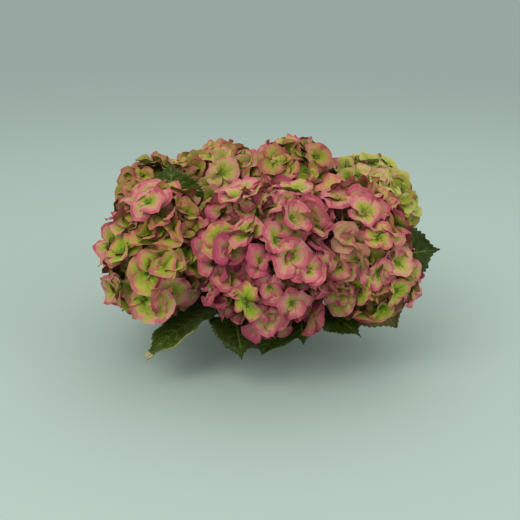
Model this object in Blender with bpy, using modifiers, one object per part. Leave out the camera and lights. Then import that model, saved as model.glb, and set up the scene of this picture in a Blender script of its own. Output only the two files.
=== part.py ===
"""A compact garden hydrangea in full flower, rooted in the ground. Metres, +Z up.

The origin is the middle of the flat cut under the woody stool, at ground level, and the side
that faces -Y is the front. Canes rise from the stool's top, one to each mophead bloom. Leafy
shoots leave the stool's side and end in groups of hanging leaves under and between the blooms.
Each stool, cane, bloom and group of leaves is one closed solid that keeps to its own space.
"""

import math
import random
from collections import namedtuple

import bmesh
import bpy
from mathutils import Matrix, Vector

# What one bloom and one leafy shoot are described by. Angles are in degrees: an azimuth is
# measured from +X towards +Y, and a tilt or a rise is above the horizontal. A bloom's width runs
# level, its length runs up its face and its depth runs along the way it faces. A shoot starts at
# an azimuth of the stool's side and ends at an azimuth, reach and height. Each of its leaves has
# the azimuth and rise it sets out with, a roll that turns its upper side to the right of the way
# it points, and the length of its blade.
Bloom = namedtuple("Bloom", "centre facing tilt width length depth")
Shoot = namedtuple("Shoot", "start azimuth reach height leaves")

# Gap between pieces that meet, and the clear way that is kept round limbs and between leaves
GAP = 0.0003
LIMB_CLEARANCE = 0.0022
LEAF_CLEARANCE = 0.0045

# The woody stool at the foot
STOOL_HEIGHT = 0.045
STOOL_FOOT_RADIUS = 0.025
STOOL_WAIST_RADIUS = 0.0165
STOOL_HEAD_RADIUS = 0.0205
STOOL_LEAN = 0.003
STOOL_SIDES = 16
STOOL_WAIST_SHARE = 0.55

# The canes, one to each bloom
CANE_FOOT_RADIUS = 0.0030
CANE_TIP_RADIUS = 0.0023
OUTER_RING = 0.0150
INNER_RING = 0.0066
CANE_STEPS = 10

# The leafy shoots and their leaves
SHOOT_FOOT_RADIUS = 0.0024
SHOOT_TIP_RADIUS = 0.0016
SHOOT_STEPS = 8
LEAF_WIDTH = 0.68
LEAF_THICKNESS = 0.0015
LEAF_FOLD = 0.16
LEAF_DROOP = 30
PETIOLE_LENGTH = 0.020
PETIOLE_RADIUS = 0.0013
LOWEST_LEAF = 0.035
BLADE_STATIONS = (0.0, 0.17, 0.44, 0.74, 0.93)

# The florets of a bloom, each one standing for a few, and the core that they stand out of
FLORET_PITCH = 0.0450
FLORET_SIZE = 0.60
FLORET_LEVEL = 0.95
CORE_SIZE = 0.60
BLOOM_BACK = -0.62

BLOOMS = {
    "front_centre": Bloom((0.011, -0.130, 0.170), -90, 22, 0.174, 0.190, 0.140),
    "front_left": Bloom((-0.131, -0.083, 0.162), -140, 24, 0.156, 0.194, 0.144),
    "front_right": Bloom((0.129, -0.088, 0.163), -44, 24, 0.150, 0.182, 0.140),
    "back_left": Bloom((-0.152, 0.051, 0.205), 168, 45, 0.106, 0.124, 0.106),
    "mid_left": Bloom((-0.064, 0.103, 0.210), 115, 66, 0.138, 0.132, 0.124),
    "top_centre": Bloom((0.044, 0.047, 0.222), 60, 84, 0.128, 0.130, 0.128),
    "back_right": Bloom((0.154, 0.062, 0.193), 24, 48, 0.150, 0.140, 0.128),
    "inner": Bloom((-0.038, -0.010, 0.182), 200, 82, 0.108, 0.108, 0.100),
    "rear_left": Bloom((-0.124, 0.172, 0.162), 128, 30, 0.150, 0.142, 0.130),
    "rear_centre": Bloom((-0.002, 0.204, 0.166), 90, 30, 0.152, 0.144, 0.132),
    "rear_right": Bloom((0.122, 0.174, 0.162), 54, 30, 0.150, 0.142, 0.130),
}
INNER_CANES = ("inner", "top_centre", "mid_left")

SHOOTS = {
    "front_left": Shoot(
        -121, -121, 0.081, 0.086, ((-143, -6, 12, 0.118), (-80, -5, -4, 0.090), (-180, 8, -18, 0.080))
    ),
    "front_right": Shoot(
        -50, -50, 0.086, 0.084, ((-92, 0, 7, 0.072), (-38, 4, -6, 0.084), (-122, -8, 0, 0.076))
    ),
    "right": Shoot(-6, -3, 0.132, 0.128, ((-20, 14, 73, 0.100), (-51, -33, 42, 0.091), (24, -20, 0, 0.088))),
    "rear_right": Shoot(44, 44, 0.122, 0.090, ((38, -4, 0, 0.098), (66, -8, 0, 0.096))),
    "rear": Shoot(94, 94, 0.118, 0.086, ((80, -6, 0, 0.098), (107, -8, 0, 0.096))),
    "rear_left": Shoot(138, 138, 0.122, 0.090, ((130, -6, 0, 0.098), (154, -4, 0, 0.094))),
    "left": Shoot(168, 180, 0.112, 0.096, ((176, -6, 0, 0.082), (203, -4, 0, 0.078))),
    "upper_left": Shoot(194, 178, 0.118, 0.170, ((79, 103, 13, 0.074),)),
    "upper_right": Shoot(18, -2, 0.091, 0.146, ((105, 105, 0, 0.070),)),
}

GOLDEN_ANGLE = math.pi * (3 - math.sqrt(5))


def direction(azimuth, tilt=0.0):
    """The unit vector at this azimuth and tilt, in degrees."""
    turn, rise = math.radians(azimuth), math.radians(tilt)
    return Vector((math.cos(turn) * math.cos(rise), math.sin(turn) * math.cos(rise), math.sin(rise)))


def facing_axes(azimuth, tilt):
    """(side, rise, out): level to a viewer's right, up the face, and outwards."""
    out = direction(azimuth, tilt)
    side = direction(azimuth + 90)
    return side, out.cross(side), out


def bezier(points, share):
    """The point at this share of a cubic curve through four control points."""
    a, b, c, d = points
    rest = 1 - share
    return a * rest**3 + b * 3 * rest**2 * share + c * 3 * rest * share**2 + d * share**3


def bloom_matrix(bloom):
    """Takes the unit ball to the bloom's envelope, with the ball's +Z facing outwards."""
    side, rise, out = facing_axes(bloom.facing, bloom.tilt)
    columns = (side * bloom.width / 2, rise * bloom.length / 2, out * bloom.depth / 2)
    return Matrix.Translation(bloom.centre) @ Matrix(columns).transposed().to_4x4()


def cane_route(name):
    """The four control points of the cane that carries this bloom."""
    bloom = BLOOMS[name]
    back = Vector(bloom.centre) - direction(bloom.facing, bloom.tilt) * bloom.depth / 2
    around = math.degrees(math.atan2(back.y, back.x))
    ring = INNER_RING if name in INNER_CANES else OUTER_RING
    foot = direction(around) * ring + Vector((STOOL_LEAN, 0, STOOL_HEIGHT + GAP))
    reach = (back - foot).length
    return (
        foot,
        foot + Vector((0, 0, 0.38 * reach)),
        back - direction(bloom.facing, bloom.tilt) * 0.34 * reach,
        back,
    )


def shoot_route(name):
    """The four control points of the stem of this group of leaves."""
    shoot = SHOOTS[name]
    start = direction(shoot.start)
    foot = start * (STOOL_WAIST_RADIUS + 0.0016)
    foot += Vector((STOOL_LEAN, 0, STOOL_HEIGHT)) * STOOL_WAIST_SHARE
    tip = direction(shoot.azimuth) * shoot.reach + Vector((0, 0, shoot.height))
    reach = (tip - foot).length
    return foot, foot + start * 0.40 * reach, tip - direction(shoot.azimuth, 40) * 0.30 * reach, tip


def limb_points(route, steps, foot_radius, tip_radius):
    """(point, radius) along a tapering limb, with short straight pieces at its foot and its tip."""
    shares = [0, 0.02, *(step / (steps - 3) for step in range(1, steps - 3)), 0.98, 1]
    return [(bezier(route, share), foot_radius + (tip_radius - foot_radius) * share) for share in shares]


def near_limb(points, limbs):
    """True if a point comes too near one of the limbs, each a list of (point, radius)."""
    return any(
        (point - middle).length < radius + LIMB_CLEARANCE
        for limb in limbs
        for middle, radius in limb
        for point in points
    )


def envelope_share(matrix_in, point):
    """How far out the point lies in a bloom's envelope: 0 at its centre and 1 at its skin."""
    return (matrix_in @ point).length


def borders(name):
    """Planes, each a point and an outward normal, that keep this bloom out of its neighbours."""
    here = Vector(BLOOMS[name].centre)
    inverse = bloom_matrix(BLOOMS[name]).inverted().to_3x3()
    found = []
    for other, bloom in BLOOMS.items():
        way = Vector(bloom.centre) - here
        if other == name:
            continue
        apart, way = way.length, way.normalized()
        mine = 1 / (inverse @ way).length
        theirs = 1 / (bloom_matrix(bloom).inverted().to_3x3() @ way).length
        if mine + theirs > 0.9 * apart:
            found.append((here + way * (apart * mine / (mine + theirs) - GAP), way))
    return found


def pressed_in(point, matrix, inverse, planes):
    """The point moved in, if it lies outside the bloom's envelope or beyond a border."""
    share = envelope_share(inverse, point)
    if share > 1:
        point = matrix @ ((inverse @ point) / share)
    for at, way in planes:
        beyond = (point - at).dot(way)
        if beyond > 0:
            point = point - way * beyond
    return point


def floret_count(bloom, pitch):
    """How many florets cover the bloom at this pitch, leaving out its back."""
    a, b, c = bloom.width / 2, bloom.length / 2, bloom.depth / 2
    power = 1.6
    mean = ((a * b) ** power + (a * c) ** power + (b * c) ** power) / 3
    return round(4 * math.pi * mean ** (1 / power) * (1 - BLOOM_BACK) / 2 / pitch**2)


def floret_places(name, pitch):
    """(point, outward normal) of each floret, on a spiral from the bloom's face to its back."""
    bloom = BLOOMS[name]
    matrix = bloom_matrix(bloom)
    flat = matrix.to_3x3().inverted().transposed()
    chance = random.Random("florets of " + name)
    count = floret_count(bloom, pitch)
    turned = chance.uniform(0, 2 * math.pi)
    for index in range(count):
        height = 1 - (index + 0.5) * (1 - BLOOM_BACK) / count
        angle = turned + index * GOLDEN_ANGLE + chance.uniform(-0.1, 0.1)
        flat_radius = math.sqrt(1 - height**2)
        spot = Vector((flat_radius * math.cos(angle), flat_radius * math.sin(angle), height))
        level = FLORET_LEVEL * chance.uniform(0.94, 1.0)
        yield matrix @ (spot * level), (flat @ spot).normalized(), chance.uniform(0, 2 * math.pi)


def floret_solid(middle, outward, spin, radius, root, press):
    """A cupped disc with four round lobes on a three-sided stalk that ends in the core."""
    lobes, notches = 1.0, 0.78
    turn = outward.to_track_quat("Z", "X").to_matrix() @ Matrix.Rotation(spin, 3, "Z")
    mesh = bmesh.new()
    rim, neck = [], []
    for step in range(8):
        angle = step * math.pi / 4
        out = radius * (notches if step % 2 else lobes)
        lift = radius * (0.10 if step % 2 else 0.22)
        place = middle + turn @ Vector((out * math.cos(angle), out * math.sin(angle), lift))
        rim.append(mesh.verts.new(press(place)))
    for step in range(3):
        angle = step * 2 * math.pi / 3
        reach = 0.075 * radius
        place = turn @ Vector((reach * math.cos(angle), reach * math.sin(angle), -0.26 * radius))
        neck.append(mesh.verts.new(middle + place))
    heart = mesh.verts.new(middle - outward * 0.08 * radius)
    foot = mesh.verts.new(root)
    nearest = [round(step * 3 / 8) % 3 for step in range(8)]
    for step in range(8):
        after = (step + 1) % 8
        mesh.faces.new((heart, rim[step], rim[after]))
        mesh.faces.new((rim[after], rim[step], neck[nearest[step]]))
        if nearest[after] != nearest[step]:
            mesh.faces.new((rim[after], neck[nearest[step]], neck[nearest[after]]))
    for step in range(3):
        mesh.faces.new((neck[(step + 1) % 3], neck[step], foot))
    bmesh.ops.recalc_face_normals(mesh, faces=mesh.faces)
    return mesh


def leaf_outline(share):
    """A leaf's half width at this share of its blade, as a share of its greatest half width."""
    return math.sin(math.pi * share**0.78) ** 0.86 * (1 - 0.22 * share**3)


class Leaf:
    """One leaf: where its stalk starts, the way it points, its upper side and its blade."""

    def __init__(self, root, pointing, upper, length, droop):
        self.root = root
        self.pointing = pointing.normalized()
        self.side = self.pointing.cross(upper).normalized()
        self.upper = self.side.cross(self.pointing)
        self.length = length
        self.half_width = length * LEAF_WIDTH / 2
        self.droop = droop

    def midrib(self, share):
        """(point, upper normal) on the midrib. A share below 0 is on the stalk."""
        base = self.root + self.pointing * PETIOLE_LENGTH
        if share <= 0:
            return base + self.pointing * (share * self.length), self.upper
        bend = self.droop * share
        ahead = self.length * math.sin(bend) / self.droop
        down = self.length * (1 - math.cos(bend)) / self.droop
        normal = self.upper * math.cos(bend) + self.pointing * math.sin(bend)
        return base + self.pointing * ahead - self.upper * down, normal

    def surface(self, share, across):
        """The point of the blade's middle surface here, with across from -1 to 1."""
        point, normal = self.midrib(share)
        half = max(PETIOLE_RADIUS, self.half_width * leaf_outline(max(share, 0.0)))
        return point + self.side * (across * half) + normal * (abs(across) * half * LEAF_FOLD)

    def samples(self):
        """Points spread over the blade, for keeping it clear of other things."""
        grid = [(share / 10, across) for share in range(11) for across in (-1, -0.5, 0, 0.5, 1)]
        return [self.surface(share, across) for share, across in grid]


def shoot_leaves(name):
    """The leaves that this shoot would bear, from its tip inwards, before any is skipped."""
    route = shoot_route(name)
    chance = random.Random("leaves of " + name)
    for index, (azimuth, rise, roll, length) in enumerate(SHOOTS[name].leaves):
        pointing = direction(azimuth, rise)
        right = direction(azimuth - 90)
        turn = math.radians(roll)
        upper = right.cross(pointing) * math.cos(turn) + right * math.sin(turn)
        droop = math.radians(LEAF_DROOP * chance.uniform(0.8, 1.2))
        yield Leaf(bezier(route, 0.99 - 0.07 * index), pointing, upper, length, droop)


def leaf_fits(leaf, limbs, blooms_in, taken):
    """True if the leaf is above the ground and clear of blooms, limbs and other groups' leaves."""
    points = leaf.samples()
    if min(point.z for point in points) < LOWEST_LEAF - LEAF_CLEARANCE:
        return False
    if any(envelope_share(inverse, point) < 1.005 for inverse in blooms_in for point in points):
        return False
    if near_limb(points, limbs):
        return False
    return all((point - other).length > LEAF_CLEARANCE for point in points for other in taken)


def clear_scene():
    """Empties the scene."""
    for thing in list(bpy.data.objects):
        bpy.data.objects.remove(thing, do_unlink=True)


def paint(name, hex_colour, roughness):
    """A plain material from an sRGB hex colour."""
    material = bpy.data.materials.new(name)
    material.use_nodes = True
    shader = material.node_tree.nodes["Principled BSDF"]
    channels = [int(hex_colour[start : start + 2], 16) / 255 for start in (1, 3, 5)]
    linear = [c / 12.92 if c <= 0.04045 else ((c + 0.055) / 1.055) ** 2.4 for c in channels]
    shader.inputs["Base Color"].default_value = (*linear, 1)
    shader.inputs["Roughness"].default_value = roughness
    shader.inputs["Metallic"].default_value = 0.0
    return material


def add_object(name, mesh, collection, material=None):
    """Links a new object that holds this mesh."""
    made = bpy.data.objects.new(name, mesh)
    collection.objects.link(made)
    if material is not None:
        mesh.materials.clear()
        mesh.materials.append(material)
    return made


def object_from_bmesh(name, built, collection):
    """Turns a bmesh into an object, and frees it."""
    mesh = bpy.data.meshes.new(name)
    built.to_mesh(mesh)
    built.free()
    return add_object(name, mesh, collection)


def tube(name, points, collection, sides_level):
    """A tapering tube along (point, radius) pairs, as a welded mesh object."""
    curve = bpy.data.curves.new(name, "CURVE")
    curve.dimensions = "3D"
    curve.bevel_depth = 1.0
    curve.bevel_resolution = sides_level
    curve.use_fill_caps = True
    spline = curve.splines.new("POLY")
    spline.points.add(len(points) - 1)
    for knot, (place, radius) in zip(spline.points, points):
        knot.co = (*place, 1)
        knot.radius = radius
    guide = bpy.data.objects.new(name, curve)
    collection.objects.link(guide)
    mesh = bpy.data.meshes.new_from_object(guide.evaluated_get(bpy.context.evaluated_depsgraph_get()))
    bpy.data.objects.remove(guide)
    built = bmesh.new()
    built.from_mesh(mesh)
    bmesh.ops.remove_doubles(built, verts=built.verts, dist=1e-6)
    bmesh.ops.recalc_face_normals(built, faces=built.faces)
    built.to_mesh(mesh)
    built.free()
    return add_object(name, mesh, collection)


def keep_largest_body(mesh):
    """Drops sealed hollows and loose scraps, which a union can leave, and keeps the main body."""
    built = bmesh.new()
    built.from_mesh(mesh)
    unseen, bodies = set(built.faces), []
    while unseen:
        body, edge_of = set(), [unseen.pop()]
        while edge_of:
            face = edge_of.pop()
            body.add(face)
            near = {other for edge in face.edges for other in edge.link_faces} & unseen
            unseen -= near
            edge_of.extend(near)
        bodies.append(body)
    bodies.sort(key=len, reverse=True)
    for body in bodies[1:]:
        bmesh.ops.delete(built, geom=list(body), context="FACES")
    bmesh.ops.triangulate(built, faces=built.faces)
    built.to_mesh(mesh)
    built.free()


def fuse(base, others):
    """Joins the other objects into base by one Boolean union, applies it and removes them."""
    group = bpy.data.collections.new("Pieces of " + base.name)
    bpy.context.scene.collection.children.link(group)
    for other in others:
        for home in list(other.users_collection):
            home.objects.unlink(other)
        group.objects.link(other)
    union = base.modifiers.new("Union", "BOOLEAN")
    union.operation = "UNION"
    union.operand_type = "COLLECTION"
    union.collection = group
    union.solver = "EXACT"
    bpy.context.view_layer.update()
    mesh = bpy.data.meshes.new_from_object(base.evaluated_get(bpy.context.evaluated_depsgraph_get()))
    base.modifiers.clear()
    base.data = mesh
    for other in others:
        bpy.data.objects.remove(other, do_unlink=True)
    bpy.data.collections.remove(group)
    keep_largest_body(base.data)


def finish_object(made, material, angle):
    """Gives an object its material, smooth over edges flatter than the angle."""
    made.data.materials.clear()
    made.data.materials.append(material)
    made.data.shade_smooth()
    made.data.set_sharp_from_angle(angle=math.radians(angle))


def make_stool(collection, material):
    """The woody foot: a turned body with a root flare, leaning a little, flat above and below."""
    outline = (
        (STOOL_HEAD_RADIUS - 0.002, STOOL_HEIGHT),
        (STOOL_HEAD_RADIUS, 0.90 * STOOL_HEIGHT),
        (STOOL_HEAD_RADIUS - 0.0005, 0.78 * STOOL_HEIGHT),
        (STOOL_WAIST_RADIUS, STOOL_WAIST_SHARE * STOOL_HEIGHT),
        (STOOL_WAIST_RADIUS + 0.001, 0.30 * STOOL_HEIGHT),
        (0.86 * STOOL_FOOT_RADIUS, 0.10 * STOOL_HEIGHT),
        (STOOL_FOOT_RADIUS, 0.0),
    )
    profile = bpy.data.meshes.new("main_stem")
    edges = [(step, step + 1) for step in range(len(outline) - 1)]
    profile.from_pydata([(radius, 0, height) for radius, height in outline], edges, [])
    stool = add_object("main_stem", profile, collection)
    turned = stool.modifiers.new("Turned", "SCREW")
    turned.steps = turned.render_steps = STOOL_SIDES
    turned.use_merge_vertices = True
    turned.merge_threshold = 1e-5
    bpy.context.view_layer.update()
    mesh = bpy.data.meshes.new_from_object(stool.evaluated_get(bpy.context.evaluated_depsgraph_get()))
    stool.modifiers.clear()
    built = bmesh.new()
    built.from_mesh(mesh)
    bmesh.ops.remove_doubles(built, verts=built.verts, dist=1e-6)
    bmesh.ops.holes_fill(built, edges=[edge for edge in built.edges if edge.is_boundary])
    for vertex in built.verts:
        share = vertex.co.z / STOOL_HEIGHT
        around = math.atan2(vertex.co.y, vertex.co.x)
        vertex.co.xy *= 1 + 0.10 * (1 - share) ** 2 * math.cos(5 * around)
        vertex.co.x += STOOL_LEAN * share
    bmesh.ops.recalc_face_normals(built, faces=built.faces)
    built.to_mesh(mesh)
    built.free()
    stool.data = mesh
    finish_object(stool, material, 40)


def make_cane(name, collection, material):
    """One tapering limb from the stool's top to the back of its bloom."""
    points = limb_points(cane_route(name), CANE_STEPS, CANE_FOOT_RADIUS, CANE_TIP_RADIUS)
    finish_object(tube("cane_" + name, points, collection, 1), material, 60)


def make_bloom(name, limbs, collection, material):
    """A mophead: a stalk, a small core and the florets that stand out of it, fused."""
    bloom = BLOOMS[name]
    matrix = bloom_matrix(bloom)
    inverse = matrix.inverted()
    planes = borders(name)
    radius = FLORET_PITCH * FLORET_SIZE
    built = bmesh.new()
    bmesh.ops.create_uvsphere(built, u_segments=10, v_segments=7, radius=CORE_SIZE)
    built.transform(matrix)
    core = object_from_bmesh("bloom_" + name, built, collection)
    back = cane_route(name)[3]
    stalk_start = back + (matrix.translation - back).normalized() * GAP
    stalk = [(stalk_start, CANE_TIP_RADIUS), (matrix.translation, CANE_TIP_RADIUS)]
    pieces = [tube("stalk", stalk, collection, 1)]
    for middle, outward, spin in floret_places(name, FLORET_PITCH):
        room = min(((at - middle).dot(way) for at, way in planes), default=1.0)
        behind = (middle - matrix.translation).normalized() * -0.3 * radius
        along = outward.orthogonal() * radius
        across = outward.cross(outward.orthogonal()) * radius
        spread = [middle + way for way in (behind, along, -along, Vector(), across, -across)]
        if room < 0.30 * radius or near_limb(spread, limbs):
            continue
        root = matrix @ ((inverse @ middle) * 0.5)
        solid = floret_solid(
            middle, outward, spin, radius, root, lambda place: pressed_in(place, matrix, inverse, planes)
        )
        pieces.append(object_from_bmesh("floret", solid, collection))
    fuse(core, pieces)
    finish_object(core, material, 35)


def leaf_solid(leaf, collection):
    """A leaf with its stalk, shaped from a ball with four meridians: two margins and two ribs."""
    built = bmesh.new()
    bmesh.ops.create_uvsphere(built, u_segments=4, v_segments=len(BLADE_STATIONS) + 1, radius=1)
    heights = sorted({round(vertex.co.z, 5) for vertex in built.verts})
    stations = (-PETIOLE_LENGTH / leaf.length, *BLADE_STATIONS, 1.0)
    for vertex in built.verts:
        share = stations[heights.index(round(vertex.co.z, 5))]
        flat = vertex.co.xy.length
        across = round(vertex.co.x / flat) if flat > 1e-4 else 0
        above = round(vertex.co.y / flat) if flat > 1e-4 else 0
        thick = LEAF_THICKNESS / 2 if share > 0 else PETIOLE_RADIUS
        vertex.co = leaf.surface(share, across) + leaf.midrib(share)[1] * (above * thick)
    bmesh.ops.recalc_face_normals(built, faces=built.faces)
    return object_from_bmesh("leaf", built, collection)


def make_leaf_group(name, limbs, blooms_in, taken, collection, material):
    """A group of leaves on one stem, fused. Returns points on the leaves that found room."""
    points = limb_points(shoot_route(name), SHOOT_STEPS, SHOOT_FOOT_RADIUS, SHOOT_TIP_RADIUS)
    stem = tube("leaves_" + name, points, collection, 0)
    kept = [leaf for leaf in shoot_leaves(name) if leaf_fits(leaf, limbs, blooms_in, taken)]
    fuse(stem, [leaf_solid(leaf, collection) for leaf in kept])
    finish_object(stem, material, 35)
    return [point for leaf in kept for point in leaf.samples()]


def main():
    clear_scene()
    plant = bpy.data.collections.new("Hydrangea")
    bpy.context.scene.collection.children.link(plant)
    bark = paint("Bark", "#6b5a3c", 0.85)
    green_wood = paint("Cane", "#5d6b35", 0.6)
    blossom = paint("Blossom", "#b0606a", 0.6)
    foliage = paint("Foliage", "#2c4220", 0.45)
    canes = {
        name: limb_points(cane_route(name), 40, CANE_FOOT_RADIUS, CANE_TIP_RADIUS) for name in BLOOMS
    }
    stems = {
        name: limb_points(shoot_route(name), 40, SHOOT_FOOT_RADIUS, SHOOT_TIP_RADIUS) for name in SHOOTS
    }
    make_stool(plant, bark)
    for name in BLOOMS:
        make_cane(name, plant, green_wood)
    for name in BLOOMS:
        others = [limb for other, limb in canes.items() if other != name]
        make_bloom(name, others + list(stems.values()), plant, blossom)
    blooms_in = [bloom_matrix(bloom).inverted() for bloom in BLOOMS.values()]
    taken = []
    for name in SHOOTS:
        others = [limb for other, limb in stems.items() if other != name]
        taken += make_leaf_group(name, others + list(canes.values()), blooms_in, taken, plant, foliage)


main()
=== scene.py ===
"""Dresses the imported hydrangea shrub: florets, leaves, cane skins and bark, in a plain studio.

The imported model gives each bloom, cane, group of leaves and the woody stool as one plain solid.
Here every one of them is replaced by what it stands for, grown again by the rule that shaped the
solids. Metres, +Z up, the front of the shrub towards -Y.
"""

import math
import random
from collections import namedtuple

import bpy
import numpy as np
from bpy.props import FloatProperty, FloatVectorProperty, PointerProperty
from mathutils import Matrix, Vector


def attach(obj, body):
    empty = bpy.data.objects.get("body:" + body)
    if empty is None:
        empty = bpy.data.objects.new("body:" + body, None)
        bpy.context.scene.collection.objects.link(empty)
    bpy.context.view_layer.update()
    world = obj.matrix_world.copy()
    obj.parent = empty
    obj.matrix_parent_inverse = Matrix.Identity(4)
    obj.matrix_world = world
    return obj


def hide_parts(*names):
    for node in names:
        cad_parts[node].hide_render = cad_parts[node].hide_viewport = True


bl_info = {
    "name": "Hydrangea shrub",
    "version": (1, 0, 0),
    "blender": (4, 5, 0),
    "location": "3D View > Sidebar > Hydrangea",
    "description": "Grows the florets, leaves and bark of a mophead hydrangea over its plain solids",
    "category": "Add Mesh",
}

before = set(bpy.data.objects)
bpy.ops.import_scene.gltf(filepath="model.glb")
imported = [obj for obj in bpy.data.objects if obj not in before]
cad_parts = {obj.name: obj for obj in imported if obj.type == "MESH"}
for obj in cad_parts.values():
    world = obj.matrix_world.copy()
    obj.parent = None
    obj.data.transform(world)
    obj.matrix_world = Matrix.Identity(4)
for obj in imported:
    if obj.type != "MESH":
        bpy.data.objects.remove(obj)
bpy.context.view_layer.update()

# The plant's plan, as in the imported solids. Angles are in degrees: an azimuth is measured from +X
# towards +Y, and a tilt or a rise is above the horizontal. A bloom's width runs level, its length
# up its face and its depth along the way it faces. A leafy shoot leaves the stool's side at an
# azimuth and ends at an azimuth, reach and height. Each of its leaves has the azimuth and rise it
# sets out with, a roll of its upper side to the right, and the length of its blade.
Bloom = namedtuple("Bloom", "centre facing tilt width length depth")
Shoot = namedtuple("Shoot", "start azimuth reach height leaves")
Leaf = namedtuple("Leaf", "root pointing upper length droop looks")

BLOOMS = {
    "front_centre": Bloom((0.011, -0.130, 0.170), -90, 22, 0.174, 0.190, 0.140),
    "front_left": Bloom((-0.131, -0.083, 0.162), -140, 24, 0.156, 0.194, 0.144),
    "front_right": Bloom((0.129, -0.088, 0.163), -44, 24, 0.150, 0.182, 0.140),
    "back_left": Bloom((-0.152, 0.051, 0.205), 168, 45, 0.106, 0.124, 0.106),
    "mid_left": Bloom((-0.064, 0.103, 0.210), 115, 66, 0.138, 0.132, 0.124),
    "top_centre": Bloom((0.044, 0.047, 0.222), 60, 84, 0.128, 0.130, 0.128),
    "back_right": Bloom((0.154, 0.062, 0.193), 24, 48, 0.150, 0.140, 0.128),
    "inner": Bloom((-0.038, -0.010, 0.182), 200, 82, 0.108, 0.108, 0.100),
    "rear_left": Bloom((-0.124, 0.172, 0.162), 128, 30, 0.150, 0.142, 0.130),
    "rear_centre": Bloom((-0.002, 0.204, 0.166), 90, 30, 0.152, 0.144, 0.132),
    "rear_right": Bloom((0.122, 0.174, 0.162), 54, 30, 0.150, 0.142, 0.130),
}
INNER_CANES = ("inner", "top_centre", "mid_left")

SHOOTS = {
    "front_left": Shoot(
        -121, -121, 0.081, 0.086, ((-143, -6, 12, 0.118), (-80, -5, -4, 0.090), (-180, 8, -18, 0.080))
    ),
    "front_right": Shoot(
        -50, -50, 0.086, 0.084, ((-92, 0, 7, 0.072), (-38, 4, -6, 0.084), (-122, -8, 0, 0.076))
    ),
    "right": Shoot(-6, -3, 0.132, 0.128, ((-20, 14, 73, 0.100), (-51, -33, 42, 0.091), (24, -20, 0, 0.088))),
    "rear_right": Shoot(44, 44, 0.122, 0.090, ((38, -4, 0, 0.098), (66, -8, 0, 0.096))),
    "rear": Shoot(94, 94, 0.118, 0.086, ((80, -6, 0, 0.098), (107, -8, 0, 0.096))),
    "rear_left": Shoot(138, 138, 0.122, 0.090, ((130, -6, 0, 0.098), (154, -4, 0, 0.094))),
    "left": Shoot(168, 180, 0.112, 0.096, ((176, -6, 0, 0.082), (203, -4, 0, 0.078))),
    "upper_left": Shoot(194, 178, 0.118, 0.170, ((79, 103, 13, 0.074),)),
    "upper_right": Shoot(18, -2, 0.091, 0.146, ((105, 105, 0, 0.070),)),
}

STOOL_HEIGHT = 0.045
STOOL_FOOT_RADIUS = 0.025
STOOL_WAIST_RADIUS = 0.0165
STOOL_WAIST_SHARE = 0.55
STOOL_HEAD_RADIUS = 0.0205
STOOL_LEAN = 0.003
STOOL_SPOKES = 72
STOOL_LEVELS = 18
CANE_FOOT_RADIUS = 0.0030
CANE_TIP_RADIUS = 0.0023
CANE_STEPS = 48
JOINTS_PER_CANE = 4.3
JOINT_SWELL = 0.22
CANE_RISE = 0.38
CANE_ARRIVAL = 0.34
OUTER_RING = 0.0150
INNER_RING = 0.0066
SHOOT_FOOT_RADIUS = 0.0024
SHOOT_TIP_RADIUS = 0.0016
SHOOT_STEPS = 30
SHOOT_DEPARTURE = 0.40
SHOOT_ARRIVAL = 0.30
LEAF_WIDTH = 0.68
LEAF_FOLD = 0.16
LEAF_DROOP = 30
PETIOLE_LENGTH = 0.020
PETIOLE_RADII = (0.0013, 0.0009)
PETIOLE_SINK = 0.0012
FLORET_BACK = -0.80
GOLDEN_ANGLE = math.pi * (3 - math.sqrt(5))

# How far a floret's middle may cross the border to the next bloom, and keeps from canes and shoots
BORDER_OVERLAP = 0.007
LIMB_ROOM = 0.008
# How far a floret's sepals lift from its face in radians: the mean, the spread and the limits
OPENING = 0.58
OPENING_SPREAD = 0.32
OPENING_LIMITS = (-0.05, 1.25)
# The least and greatest share of a sepal that its green reaches, and how much its faces vary
GREEN_LIMITS = (0.18, 0.92)
SHADE_SPREAD = 0.02
# Inside a bloom the cane runs on to a hub, and a stalk forks off it to each floret
HUB_SHARE = 0.35
HUB_RADIUS = 0.0019
FORK_SHARE = 0.42
STALK_RADII = (0.0012, 0.0008)
TWIG_RADII = (0.0007, 0.0005)
TWIG_END = 0.002
BUD_LIFT = 0.0022

# Spacing of the patterns in bark and skin: furrows 2 mm apart, lichen 17 mm and cork pores 1.6 mm
FURROWS_PER_METRE = 480
LICHEN_PER_METRE = 60
PORES_PER_METRE = 620

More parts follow.
